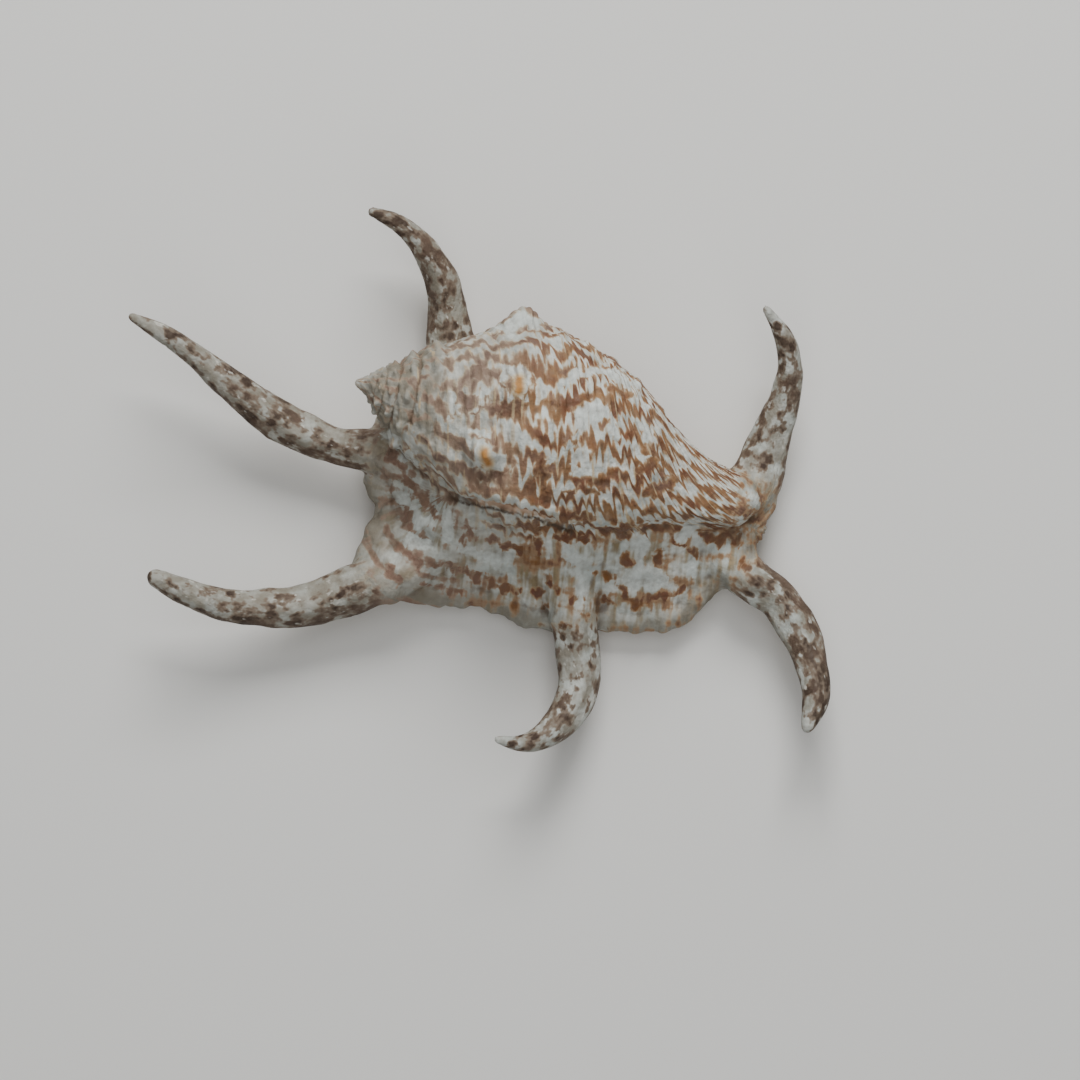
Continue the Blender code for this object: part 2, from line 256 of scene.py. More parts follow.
DIGITS = {
    "rear inner": [
        (-6.0, 24.0, 8.5, 6.8), (-7.3, 32.5, 6.8, 6.1), (-8.2, 42.0, 8.4, 4.8), (-9.4, 48.3, 10.8, 4.3),
        (-12.1, 54.0, 14.0, 3.6), (-15.9, 58.8, 17.0, 2.8), (-20.8, 62.6, 19.8, 2.2),
        (-26.6, 64.9, 22.0, 1.4),
    ],
    "rear outer": [
        (-11.0, 5.0, 17.0, 7.0), (-23.4, 6.6, 13.0, 5.8), (-33.9, 8.0, 11.4, 4.5),
        (-44.1, 11.8, 12.2, 5.0), (-53.5, 17.3, 14.4, 4.7), (-62.1, 24.0, 17.4, 3.8),
        (-70.3, 30.8, 20.8, 2.8), (-76.7, 35.2, 23.2, 2.4), (-84.7, 39.4, 26.0, 1.1),
    ],
    "side rear": [
        (-5.0, -11.0, 14.6, 6.0), (-18.0, -20.8, 12.8, 6.6), (-27.0, -25.2, 11.6, 6.1),
        (-34.3, -28.0, 10.6, 6.0), (-43.0, -30.6, 11.2, 5.3), (-52.4, -31.4, 13.0, 4.7),
        (-62.0, -30.6, 16.0, 4.1), (-71.1, -27.7, 19.6, 3.4), (-79.3, -23.6, 23.0, 2.3),
    ],
    "side middle": [
        (20.0, -18.5, 14.0, 6.0), (22.2, -30.0, 11.2, 6.2), (23.4, -40.5, 9.8, 5.4), (23.9, -49.7, 10.6, 5.2),
        (21.4, -56.6, 13.4, 4.6), (16.1, -62.1, 17.4, 3.6), (10.1, -64.2, 20.6, 2.3), (3.8, -63.0, 23.6, 1.1),
    ],
    "side front": [
        (54.0, -13.0, 8.4, 5.4), (65.0, -23.6, 10.0, 5.5), (72.1, -28.7, 9.6, 4.8), (77.0, -35.8, 10.6, 5.0),
        (80.1, -42.8, 12.6, 4.3), (81.7, -50.4, 15.6, 3.7), (81.1, -55.4, 17.8, 3.1),
        (79.2, -60.7, 20.2, 1.7),
    ],
    "front canal": [
        (57.0, -7.0, 11.5, 6.4), (66.2, -1.8, 9.6, 6.8), (69.2, 5.1, 9.4, 5.8), (71.7, 12.4, 11.0, 4.8),
        (74.2, 19.7, 13.8, 3.9), (75.3, 27.4, 17.2, 3.1), (73.6, 34.5, 20.8, 2.4), (68.9, 41.5, 24.6, 1.1),
    ],
}  # fmt: skip
DIGIT_ROOT = {
    "rear inner": 9.0, "rear outer": 16.0, "side rear": 26.0,
    "side middle": 17.0, "side front": 15.0, "front canal": 13.0,
}  # fmt: skip
TIP_ROUNDING = 0.7
TIP_RING = 0.35
DIGIT_RINGS_PER_STOP = 12
DIGIT_RING_POINTS = 32


def digit_frames(rows):
    """Along a digit: its middle line, its direction, and unit vectors up and across."""
    line = smooth_curve(rows, DIGIT_RINGS_PER_STOP * len(rows))
    ahead = np.gradient(line[:, :3], axis=0)
    ahead /= np.linalg.norm(ahead, axis=1)[:, None]
    up = np.array([0, 0, 1.0]) - ahead * ahead[:, 2:3]
    up /= np.linalg.norm(up, axis=1)[:, None]
    return line, ahead, up, np.cross(ahead, up)


def digit(rows):
    line, ahead, up, across = digit_frames(rows)
    angles = np.linspace(0, math.tau, DIGIT_RING_POINTS + 1)[:-1, None]
    rings = [p[:3] + (u * np.cos(angles) + c * np.sin(angles)) * p[3] for p, u, c in zip(line, up, across)]
    tip = line[-1, :3] + ahead[-1] * line[-1, 3] * TIP_ROUNDING
    rings.append(tip + (rings[-1] - line[-1, :3]) * TIP_RING)
    return loft(rings)


# The mouth
# The opening that the animal lived in: a curved slit under the body whorl, which leads up
# between the inner pillar and the outer wall. Its walls are polished.

MOUTH = [
    (21, 11.6, 12.6), (26, 13.0, 15.6), (32, 14.2, 18.8), (40, 14.8, 20.8), (50, 14.2, 20.0),
    (60, 11.8, 17.2), (68, 9.0, 14.0), (76, 5.8, 10.4), (84, 3.6, 7.2), (92, 2.2, 4.8), (100, 1.4, 3.0),
]  # fmt: skip
MOUTH_ROOF = math.radians(12)
MOUTH_FLOOR = math.radians(138)
SLIT_EDGES = [math.radians(166), math.radians(148)]
CUT_BELOW = 6.0
MOUTH_RINGS = 40
MOUTH_ARC_POINTS = 14


def mouth_hollow():
    rings = []
    turns = np.linspace(MOUTH_ROOF, MOUTH_FLOOR, MOUTH_ARC_POINTS)
    each = np.ones(MOUTH_ARC_POINTS)
    for along, inner, outer in smooth_curve(MOUTH, MOUTH_RINGS):
        depth = coil_point(along, 0, 0)[2] + CUT_BELOW
        rings.append(np.concatenate([
            coil_point(along * each, inner * each, turns),
            [coil_point(along, -depth / math.cos(turn), turn, 1.0) for turn in SLIT_EDGES],
            coil_point(along * each, outer * each, turns[::-1]),
        ]))  # fmt: skip
    return loft(rings)


def link_mesh(name, parts):
    """One object of several closed meshes."""
    points, faces = [], []
    for part_points, part_faces in parts:
        faces += [tuple(i + len(points) for i in face) for face in part_faces]
        points += (part_points * MM).tolist()
    data = bpy.data.meshes.new(name)
    data.from_pydata(points, [], faces)
    made = bpy.data.objects.new(name, data)
    bpy.context.scene.collection.objects.link(made)
    return made


def outward(obj):
    """Turn every face outwards."""
    mesh = bmesh.new()
    mesh.from_mesh(obj.data)
    bmesh.ops.recalc_face_normals(mesh, faces=mesh.faces)
    mesh.to_mesh(obj.data)
    mesh.free()


def evaluated_mesh(obj):
    return bpy.data.meshes.new_from_object(obj.evaluated_get(bpy.context.evaluated_depsgraph_get()))


COARSE_VOXEL = 0.8
FINE_VOXEL = 0.5
SOFTEN_SHARE = 0.5
SOFTEN_ROUNDS = 8

fused = link_mesh("fused", [coiled_body(), outer_lip()] + [digit(rows) for rows in DIGITS.values()])
hollow = link_mesh("hollow", [mouth_hollow()])
outward(fused)
outward(hollow)
fuse = fused.modifiers.new("fuse", "REMESH")
fuse.mode = "VOXEL"
fuse.voxel_size = COARSE_VOXEL * MM
open_mouth = fused.modifiers.new("open_mouth", "BOOLEAN")
open_mouth.operation = "DIFFERENCE"
open_mouth.object = hollow
even = fused.modifiers.new("even", "REMESH")
even.mode = "VOXEL"
even.voxel_size = FINE_VOXEL * MM
soften = fused.modifiers.new("soften", "SMOOTH")
soften.factor = SOFTEN_SHARE
soften.iterations = SOFTEN_ROUNDS
conch_mesh = evaluated_mesh(fused)
conch = bpy.data.objects.new("spider_conch", conch_mesh)
bpy.context.scene.collection.objects.link(conch)
for scaffold in (fused, hollow):
    bpy.data.objects.remove(scaffold)

# The sculpted surface
# Everything that the growing edge left on the shell: spiral cords about 2 mm apart, growth
# folds, lumps on the lip's edge, ridges along the digits, and the pits of weathering.


def mesh_points(mesh):
    flat = np.empty(len(mesh.vertices) * 3)
    mesh.vertices.foreach_get("co", flat)
    return flat.reshape(-1, 3) / MM


def mesh_normals(mesh):
    flat = np.empty(len(mesh.vertices) * 3)
    mesh.vertex_normals.foreach_get("vector", flat)
    return flat.reshape(-1, 3)


def waves(places, size, seed, count=28):
    """A smooth random field between about -1 and 1, with lumps of the given size."""
    random = np.random.default_rng(seed)
    ahead = random.normal(size=(count, places.shape[1]))
    ahead /= np.linalg.norm(ahead, axis=1)[:, None]
    pace = random.uniform(0.6, 1.4, count)[:, None] * math.pi / np.asarray(size, float)
    shifts = random.uniform(0, math.tau, count)
    return np.cos(places @ (ahead * pace).T + shifts).sum(axis=1) / math.sqrt(count)


# Cords run round the coil and also forwards: millimetres along the axis for each one round it
CORD_SLANT = [(0, 0.15), (25, 0.25), (40, 0.3), (52, 0.36), (62, 0.45), (75, 0.65), (90, 0.9), (130, 1.2)]
CORD_REACH = 130.0
HIDDEN_SEAM = math.radians(120)
MARK_RADIUS = 24.0
MOUTH_FROM = 20.0
BODY_FRONT = 100.0
WALL_DEPTH = 1.2
DIGIT_BLEND = 7.0
CREASE = [np.array([-7.4, -3.9]), np.array([66.0, -12.0])]
FAN = 14.0


def cord_places():
    """For places along the axis, how far round the coil a cord needs to come from the first."""
    along = np.linspace(0, CORD_REACH, 400)
    slant = np.interp(along, *zip(*CORD_SLANT))
    return along, np.concatenate([[0], np.cumsum(np.diff(along) / slant[1:])])


def cord_at_back(along, round_it):
    """The place along the axis at which the cord through a point crosses the coil's back."""
    places, far = cord_places()
    return np.interp(np.interp(along, places, far) - round_it, far, places)


def body_place(points):
    """Millimetres along the coil's axis and round it, and height over the coil's surface."""
    along, turn, radius = coil_place(points)
    round_it = np.where(turn < HIDDEN_SEAM, turn, turn - math.tau)
    shrink = 0.5 * MARK_RADIUS + 0.5 * np.interp(along, OUTLINE_CURVE[:, 0], OUTLINE_CURVE[:, 1])
    round_it = round_it * shrink
    return np.column_stack([cord_at_back(along, round_it), round_it, radius - body_radius(along, turn)])


def lip_place(points):
    """Millimetres along the crease, outwards from it, and in from the lip's edge."""
    start, end = CREASE
    length = np.linalg.norm(end - start)
    ahead = (end - start) / length
    flat = points[:, :2] - start
    along = flat @ ahead
    clamped = np.clip(along, 0, length)
    beside = flat - clamped[:, None] * ahead
    out = np.linalg.norm(beside, axis=1)
    fan = np.arctan2(along - clamped, np.abs(beside @ np.array([ahead[1], -ahead[0]])) + 0.5)
    inward = np.full(len(points), 99.0)
    for x, y in RIM_CURVE[:, :2]:
        inward = np.minimum(inward, np.hypot(points[:, 0] - x, points[:, 1] - y))
    return np.column_stack([clamped + fan * FAN, out, inward])


def digit_place(points):
    """Millimetres along the nearest digit, across it and up from its middle; how much it is one."""
    place = np.zeros((len(points), 3))
    share = np.zeros(len(points))
    which = np.zeros(len(points))
    for number, (name, rows) in enumerate(DIGITS.items()):
        line, ahead, up, across = digit_frames(rows)
        steps = np.linalg.norm(np.diff(line[:, :3], axis=0), axis=1)
        length = np.concatenate([[0], np.cumsum(steps)])
        low, high = line[:, :3].min(axis=0) - 9, line[:, :3].max(axis=0) + 9
        near = np.flatnonzero(np.all((points > low) & (points < high), axis=1))
        best = np.full(len(near), 1e9)
        nearest = np.zeros(len(near), int)
        for i, centre in enumerate(line[:, :3]):
            far = np.sum((points[near] - centre) ** 2, axis=1)
            closer = far < best
            best[closer] = far[closer]
            nearest[closer] = i
        offset = points[near] - line[nearest, :3]
        ahead_of = np.sum(offset * ahead[nearest], axis=1)
        side = np.sum(offset * across[nearest], axis=1)
        rise = np.sum(offset * up[nearest], axis=1)
        ratio = np.hypot(side, rise) / line[nearest, 3]
        past_root = length[nearest] + ahead_of - DIGIT_ROOT[name]
        on_it = smooth_step(past_root / DIGIT_BLEND + 0.5) * smooth_step((1.75 - ratio) / 0.4)
        better = on_it > share[near]
        chosen = near[better]
        share[chosen] = on_it[better]
        place[chosen] = np.column_stack([past_root, side, rise])[better]
        which[chosen] = number + 1
    return place, share, which


def regions(points, normals):
    """Places on each part of the shell, and how much a point belongs to each."""
    body = body_place(points)
    lip = lip_place(points)
    digits, on_digit, which = digit_place(points)
    along, turn, _ = coil_place(points)
    in_mouth = smooth_step((-body[:, 2] - WALL_DEPTH) / 1.5) * smooth_step((along - MOUTH_FROM) / 4)
    in_mouth = in_mouth * (1 - on_digit)
    on_body = smooth_step(1.2 - body[:, 2] / 2.2) * smooth_step((BODY_FRONT - along) / 6)
    on_body = on_body * (1 - in_mouth) * (1 - on_digit)
    on_spire = smooth_step((suture_place(turn) + 1.5 - along) / 3) * on_body
    on_lip = np.clip(1 - on_body - in_mouth - on_digit, 0, 1)
    below = smooth_step((-normals[:, 2] - 0.15) / 0.35)
    return {
        "body": body, "lip": lip, "digits": digits, "on_digit": on_digit, "which": which,
        "in_mouth": in_mouth, "on_body": on_body, "on_spire": on_spire, "on_lip": on_lip, "below": below,
    }  # fmt: skip


CORD_PITCH = 2.2
CORD_HEIGHT = 0.22
KNOT_PITCH = 6.5
KNOT_HEIGHT = 0.22
FOLD_HEIGHT = 0.09
# Place along the axis, angle from the back towards the lip in degrees, height, spread
KNOB_CAPS = [(35.7, -19, 0.7, 2.8), (32.5, 17, 0.6, 3.0)]
KNOB_MOAT_DEPTH = 0.7
KNOB_MOAT_PLACE = 6.6
KNOB_MOAT_SPREAD = 2.2
NODES_AROUND = 9
NODE_HEIGHT = 1.3
SUTURE_DEPTH = 0.7
LIP_CORD_HEIGHT = 0.07
LIP_FOLD_PITCH = 4.2
LIP_FOLD_HEIGHT = 0.22
RIM_GROOVE = 4.6
RIM_GROOVE_DEPTH = 0.2
LUMP_PITCH = 7.0
LUMP_HEIGHT = 0.6
DIGIT_RIDGES = 5
DIGIT_RIDGE_HEIGHT = 0.2
DIGIT_LUMP_HEIGHT = 0.13
DIGIT_GROOVE_DEPTH = 0.7
SWELL_HEIGHT = 0.22
ROUGH_HEIGHT = 0.12
PIT_DEPTH = 0.14
MOUTH_RIDGE_PITCH = 1.5
MOUTH_RIDGE_HEIGHT = 0.05


def relief(points, normals):
    """Height in mm that the sculpture adds to the smooth form."""
    part = regions(points, normals)
    s, t = part["body"][:, 0], part["body"][:, 1]
    worn = smooth_step((10.0 - points[:, 0]) / 40)
    drift = 0.5 * waves(points, 9.0, 11)
    cords = np.cos(math.tau * s / CORD_PITCH + drift)
    cords = cords * (0.75 + 0.35 * waves(np.column_stack([s * 2.5, t]), 8.0, 12))
    along, turn, _ = coil_place(points)
    knots = sum(bell(along - place, RIB_SPREAD) for place in RIBS) * np.cos(math.tau * t / KNOT_PITCH + s)
    folds = waves(np.column_stack([s, t * 3.2]), 5.0, 13)
    body = CORD_HEIGHT * (1 - 0.35 * worn) * cords + KNOT_HEIGHT * knots + FOLD_HEIGHT * folds
    up_whorl = whorl_share(along, turn)
    spire_nodes = np.maximum(np.cos(NODES_AROUND * turn), 0) * bell(up_whorl - 0.3, 0.16)
    suture = bell(np.minimum(up_whorl, 1 - up_whorl), 0.09)
    spire = part["on_spire"] * (NODE_HEIGHT * spire_nodes - SUTURE_DEPTH * suture) * smooth_step(along / 11)
    for place, knob_turn, height, spread in KNOB_CAPS:
        aside = np.angle(np.exp(1j * (turn - math.radians(knob_turn)))) * body_radius(along, turn)
        far = np.hypot(along - place, aside)
        moat = KNOB_MOAT_DEPTH * bell(far - KNOB_MOAT_PLACE, KNOB_MOAT_SPREAD)
        body = body + height * bell(far, spread) - moat
    lip_s, lip_t, inward = part["lip"].T
    above = 1 - part["below"]
    radial = np.cos(math.tau * lip_s / CORD_PITCH + 0.8 * waves(points, 8.0, 14))
    growth = waves(np.column_stack([lip_s * 0.35, lip_t * 1.6]), LIP_FOLD_PITCH, 15)
    groove = -bell(inward - RIM_GROOVE, 1.1) * smooth_step((lip_s - 2) / 8)
    lumps = np.maximum(0, np.cos(math.tau * lip_s / LUMP_PITCH + waves(points, 12.0, 16)))
    lumps = lumps * bell(inward, 3.2)
    lip = above * (LIP_CORD_HEIGHT * radial + LIP_FOLD_HEIGHT * growth + RIM_GROOVE_DEPTH * groove)
    lip = lip + LUMP_HEIGHT * lumps
    d_along, d_side, d_up = part["digits"].T
    thick = np.clip(np.hypot(d_side, d_up) / 5.0, 0.15, 1.0)
    angle = np.arctan2(d_side, d_up)
    ridges = np.cos(DIGIT_RIDGES * angle + 0.8 * np.sin(d_along / 9)) * smooth_step((42 - d_along) / 20)
    digit_lumps = DIGIT_LUMP_HEIGHT * waves(points, 3.6, 17)
    groove_below = DIGIT_GROOVE_DEPTH * bell(np.abs(angle) - math.pi, 0.3)
    digit = thick * (DIGIT_RIDGE_HEIGHT * ridges + digit_lumps - groove_below)
    calm = 1 - part["on_digit"] * (1 - 0.5 * thick)
    coarse = ROUGH_HEIGHT * waves(points, 2.2, 19) * (1 + part["on_spire"])
    coarse = calm * (SWELL_HEIGHT * waves(points, 6.5, 18) + coarse)
    pits = -PIT_DEPTH * smooth_step((waves(points, 1.7, 20) - 0.6) / 0.8) * (0.15 + 0.85 * worn)
    inside = MOUTH_RIDGE_HEIGHT * np.cos(math.tau * lip_t / MOUTH_RIDGE_PITCH)
    height = part["on_body"] * body + spire + part["on_lip"] * lip + part["on_digit"] * digit
    height += (1 - part["in_mouth"]) * (coarse + pits) + part["in_mouth"] * inside
    return height


# The markings
# Red-brown zigzags on blue-white, laid down at the growing edge, so they repeat as it grew.
# The largest ones are drawn as strokes, in the pixels of the photograph, which looks
# straight down on the shell.

PIXEL = 170 / 700
PHOTO_MIDDLE = (480.5, 479.0)
CAMERA_PLACE = (14.45, -14.8)
CAMERA_HEIGHT = 1200.0
PHOTO_PLANE = 20.0
BAND_PITCH = 7.2
BAND_WANDER = 1.8
BAND_JITTER = 1.0
SCALLOP_WIDTH = 7.4
SCALLOP_DEPTH = 2.6
CELL_WIDTH = 2.1
ARCH = 2.4
OUTSIDE = 9.0
FIRM_EDGE = 0.4
ROUND_EDGE = 0.3

# Width in pixels, and the points of each stroke
BROWN_STROKES = [
    (9, [(578, 402), (590, 396), (608, 399)]), (7, [(512, 364), (524, 361), (537, 366)]),
    # The stroke from (464, 470) to (508, 470), under the knob nearest the lip, is partly brown mark and
    # partly painted shadow of that knob
    (12, [(503, 408), (512, 412), (520, 406)]), (9, [(464, 470), (478, 476), (496, 475), (508, 470)]),
    (7, [(474, 436), (484, 433), (492, 438)]), (8, [(506, 446), (510, 456), (516, 464)]),
    (7, [(508, 378), (507, 388)]), (7, [(531, 378), (532, 390)]),
    (12, [(472, 374), (486, 372), (498, 377)]), (13, [(462, 398), (474, 409), (488, 400)]),
    (9, [(448, 438), (457, 441), (464, 446)]), (10, [(391, 449), (398, 458)]),
    (8, [(381, 457), (399, 461), (407, 481), (430, 506), (438, 519)]),
    (8, [(402, 499), (406, 514), (412, 532)]), (9, [(472, 487), (490, 492), (514, 488)]),
    (11, [(411, 552), (416, 560), (421, 570)]), (9, [(387, 568), (393, 574), (400, 584)]),
    (7, [(373, 589), (382, 595)]), (8, [(432, 562), (452, 567), (474, 575), (488, 583), (509, 589)]),
    (7, [(426, 583), (444, 588), (464, 596)]), (8, [(561, 511), (574, 515), (590, 517)]),
    (8, [(490, 539), (503, 544), (520, 550)]), (10, [(558, 537), (570, 537), (582, 539)]),
    (6, [(537, 523), (537, 540), (539, 560)]), (12, [(628, 561), (630, 562)]),
    (10, [(656, 553), (656, 561)]), (7, [(617, 585), (627, 597), (639, 606), (648, 596)]),
    (11, [(651, 594), (664, 597), (680, 590)]), (7, [(669, 534), (684, 545), (700, 556)]),
    (12, [(705, 537), (718, 540)]), (9, [(597, 573), (614, 578)]), (8, [(603, 598), (612, 602)]),
    (8, [(517, 589), (518, 591)]), (9, [(535, 591), (541, 596)]), (7, [(549, 581), (560, 592)]),
    (6, [(571, 599), (583, 598)]), (6, [(545, 606), (547, 607)]), (7, [(561, 624), (573, 627)]),
    (6, [(585, 612), (585, 621)]), (7, [(611, 531), (628, 536)]), (8, [(640, 527), (646, 540)]),
    (5, [(466, 520), (470, 532)]), (6, [(462, 540), (476, 534)]), (9, [(727, 537), (737, 541)]),
    (8, [(740, 560), (746, 566)]), (13, [(540, 458), (543, 480), (546, 500)]),
    (13, [(552, 402), (568, 406), (584, 400)]), (9, [(613, 388), (626, 396)]),
    (8, [(640, 470), (655, 463)]), (10, [(648, 492), (664, 486), (676, 480)]),
    (8, [(568, 492), (580, 488), (592, 490)]),
]  # fmt: skip
WHITE_STROKES = [
    (14, [(514, 371), (521, 376), (526, 386)]), (9, [(502, 365), (506, 378)]),
    (13, [(388, 436), (396, 444)]), (11, [(404, 455), (416, 462)]), (20, [(585, 414), (600, 410)]),
    (9, [(580, 424), (577, 436)]), (22, [(482, 452), (488, 459), (494, 460)]),
    (15, [(518, 377), (519, 392)]), (16, [(506, 330), (520, 318), (534, 322)]),
    (10, [(402, 496), (412, 508), (424, 524)]), (14, [(447, 516), (448, 540)]),
    (12, [(410, 540), (428, 546)]), (11, [(462, 548), (482, 556), (504, 562)]),
    (12, [(570, 556), (585, 562), (574, 574)]), (26, [(636, 578), (655, 580)]),
    (14, [(640, 543), (648, 550)]), (14, [(684, 535), (690, 528)]), (12, [(686, 565), (694, 572)]),
    (6, [(450, 392), (462, 418)]), (5, [(470, 412), (492, 398)]), (7, [(452, 418), (458, 428)]),
    (7, [(480, 398), (487, 388)]), (8, [(468, 430), (490, 434)]),
    (11, [(566, 380), (590, 370), (614, 374), (634, 386)]), (9, [(612, 420), (616, 436)]),
    (10, [(640, 424), (650, 440)]), (8, [(570, 446), (590, 452)]), (9, [(574, 470), (592, 474)]),
]  # fmt: skip
ORANGE_SPOTS = [(12, [(519, 380), (519, 391)]), (11, [(484, 452), (488, 463)])]


def seen_plan(points):
    """Where the camera of the photograph sees each point, in its pixels."""
    shrink = (CAMERA_HEIGHT - PHOTO_PLANE) / (CAMERA_HEIGHT - points[:, 2])
    x = CAMERA_PLACE[0] + (points[:, 0] - CAMERA_PLACE[0]) * shrink
    y = CAMERA_PLACE[1] + (points[:, 1] - CAMERA_PLACE[1]) * shrink
    return np.column_stack([x / PIXEL + PHOTO_MIDDLE[0], PHOTO_MIDDLE[1] - y / PIXEL])


# The crease where the last whorl meets the lip: a groove, and a dark line of painted shade along it
CREASE_STROKE = [(1, [(452, 499), (470, 504), (500, 510), (530, 517), (558, 527), (572, 533)])]
RIDGE_STROKE = [(1, [(462, 488), (480, 492), (510, 498), (540, 506), (566, 517)])]


def inside_strokes(seen, strokes, ragged=1.0):
    """Millimetres inside the edge of the nearest stroke; negative outside."""
    seen = seen + 2.2 * ragged * np.column_stack([waves(seen, 9.0, 51), waves(seen, 9.0, 52)])
    seen = seen + 1.2 * ragged * np.column_stack([waves(seen, 3.5, 53), waves(seen, 3.5, 54)])
    inside = np.full(len(seen), -OUTSIDE)
    for width, stops in strokes:
        stops = np.array(stops, float)
        for start, end in zip(stops, stops[1:]):
            ahead = end - start
            share = np.clip((seen - start) @ ahead / (ahead @ ahead), 0, 1)
            far = np.linalg.norm(seen - start - share[:, None] * ahead, axis=1)
            inside = np.maximum(inside, (width / 2 - far) * PIXEL)
    return inside


def growth_bands(part):
    """Place in the growth of the body, in brown bands: whole numbers are the middles of bands."""
    s, t = part["body"][:, 0], part["body"][:, 1]
    flat = np.column_stack([s, t])
    shift = BAND_WANDER * waves(flat, (9.0, 18.0), 31) + BAND_JITTER * waves(flat, (2.4, 12.0), 33)
    cell = s / SCALLOP_WIDTH + 0.45 * waves(np.column_stack([s, t * 1.3]), 9.0, 32)
    scallop = SCALLOP_DEPTH * (np.abs(np.sin(math.pi * cell)) - 0.6)
    return (t + scallop + shift) / BAND_PITCH


# How far the brown keeps to one side of each digit, to the right as seen from its root
DIGIT_BROWN_SIDE = [0.0, -0.2, 0.0, 0.4, -0.3, 0.25, -0.1]
DIGIT_BROWN_BIAS = [0.0, 0.5, 0.4, 0.25, 0.08, 0.42, 0.28]


def digit_side(part):
    """Added brown, from the side of the digit that a point is on."""
    which = part["which"].astype(int)
    side = part["digits"][:, 1] / np.maximum(np.hypot(part["digits"][:, 1], part["digits"][:, 2]), 0.3)
    return -np.array(DIGIT_BROWN_SIDE)[which] * side + np.array(DIGIT_BROWN_BIAS)[which]


def crevices(mesh, points, normals, rounds):
    """How far each point lies below the mean of its surroundings, in mm."""
    flat = np.empty(len(mesh.edges) * 2, int)
    mesh.edges.foreach_get("vertices", flat)
    a, b = flat.reshape(-1, 2).T
    size = len(points)
    count = np.bincount(a, minlength=size) + np.bincount(b, minlength=size)
    mean = points.copy()
    for _ in range(rounds):
        total = [np.bincount(a, mean[b, k], size) + np.bincount(b, mean[a, k], size) for k in range(3)]
        mean = np.column_stack(total) / count[:, None]
    return np.sum((mean - points) * normals, axis=1)


def store(name, values):
    kind, key = ("FLOAT_VECTOR", "vector") if values.ndim == 2 else ("FLOAT", "value")
    conch_mesh.attributes.new(name, kind, "POINT").data.foreach_set(key, values.astype(np.float32).ravel())


CREASE_DEPTH = -1.7
CREASE_SPREAD = 1.3
RIDGE_HEIGHT = 0.9
CANAL_ROOT = np.array([63.5, -6.5])
CANAL_ROOT_SPREAD = 11.0
FACE_LIMIT = 196000
NARROW_ROUNDS = 8
WIDE_ROUNDS = 60

places = mesh_points(conch_mesh)
facing = mesh_normals(conch_mesh)
height = relief(places, facing)
upward = smooth_step(facing[:, 2] / 0.3)
for strokes, rise in ((CREASE_STROKE, CREASE_DEPTH), (RIDGE_STROKE, RIDGE_HEIGHT)):
    beside = np.minimum(inside_strokes(seen_plan(places), strokes, FIRM_EDGE), 0)
    height += rise * upward * bell(beside, CREASE_SPREAD)
places += facing * height[:, None]
places[:, 2] = np.maximum(places[:, 2], 0)
conch_mesh.vertices.foreach_set("co", (places * MM).ravel())
thin = conch.modifiers.new("thin", "DECIMATE")
thin.ratio = FACE_LIMIT / (2 * len(conch_mesh.polygons))
thin.use_collapse_triangulate = True
conch.data = evaluated_mesh(conch)
conch.modifiers.clear()
conch_mesh = conch.data
conch_mesh.polygons.foreach_set("use_smooth", np.ones(len(conch_mesh.polygons), bool))

places = mesh_points(conch_mesh)
facing = mesh_normals(conch_mesh)
part = regions(places, facing)
seen = seen_plan(places)
from_above = smooth_step((facing[:, 2] + 0.05) / 0.2)
for name in ("body", "lip", "digits", "on_digit", "in_mouth", "on_body", "on_spire", "on_lip", "below"):
    store(name, part[name])
store("growth_band", growth_bands(part))
store("digit_side", digit_side(part))
root_distance = np.linalg.norm(places[:, :2] - CANAL_ROOT, axis=1)
store("canal_root", bell(root_distance, CANAL_ROOT_SPREAD) * from_above)
# The crease's stroke is stored for a dark line of painted shade; the others are colour marks
for name, strokes, edge in (
    ("crease", CREASE_STROKE, FIRM_EDGE),
    ("brown_mark", BROWN_STROKES, 1.0),
    ("white_mark", WHITE_STROKES, 1.0),
    ("orange_spot", ORANGE_SPOTS, ROUND_EDGE),
):
    store(name, inside_strokes(seen, strokes, edge) * from_above - OUTSIDE * (1 - from_above))
store("faded", smooth_step((14.0 - places[:, 0] + 0.25 * places[:, 1] + 5 * waves(places, 14.0, 41)) / 18))
# How deep each point lies in a crevice or in a wide hollow, for painted shade there
store("crevice", crevices(conch_mesh, places, facing, NARROW_ROUNDS))
store("wide_crevice", crevices(conch_mesh, places, facing, WIDE_ROUNDS))


# Weathered conch shell: aragonite, blue-white with red-brown marks and cream cords, dull
# outside and porcelain-smooth in the mouth.


def linear(colour):
    """A shader colour from an sRGB hex one."""
    parts = [int(colour[i : i + 2], 16) / 255 for i in (0, 2, 4)]
    return tuple(((c + 0.055) / 1.055) ** 2.4 if c > 0.04045 else c / 12.92 for c in parts) + (1.0,)


shell_material = bpy.data.materials.new("weathered_conch_shell")
shell_material.use_nodes = True
tree = shell_material.node_tree
tree.nodes.clear()


def node(kind, *inputs, output=0, **settings):
    """Add a node, fill its inputs in order with numbers or links, and return one output."""
    made = tree.nodes.new("ShaderNode" + kind)
    for name, value in settings.items():
        setattr(made, name, value)
    for socket, value in zip(made.inputs, inputs):
        if isinstance(value, bpy.types.NodeSocket):
            tree.links.new(value, socket)
        elif value is not None:
            socket.default_value = value
    return made.outputs[output]


def field(name):
    return node("Attribute", attribute_name=name, output=2)


def field_place(name):
    return node("Attribute", attribute_name=name, output=1)


def maths(operation, a, b=0.0, c=0.0):
    return node("Math", a, b, c, operation=operation)


def plus(total, *others):
    for other in others:
        total = maths("ADD", total, other)
    return total


def times(product, *others):
    for other in others:
        product = maths("MULTIPLY", product, other)
    return product


def less(share):
    """What is left of 1 beside a share."""
    return maths("SUBTRACT", 1.0, share)


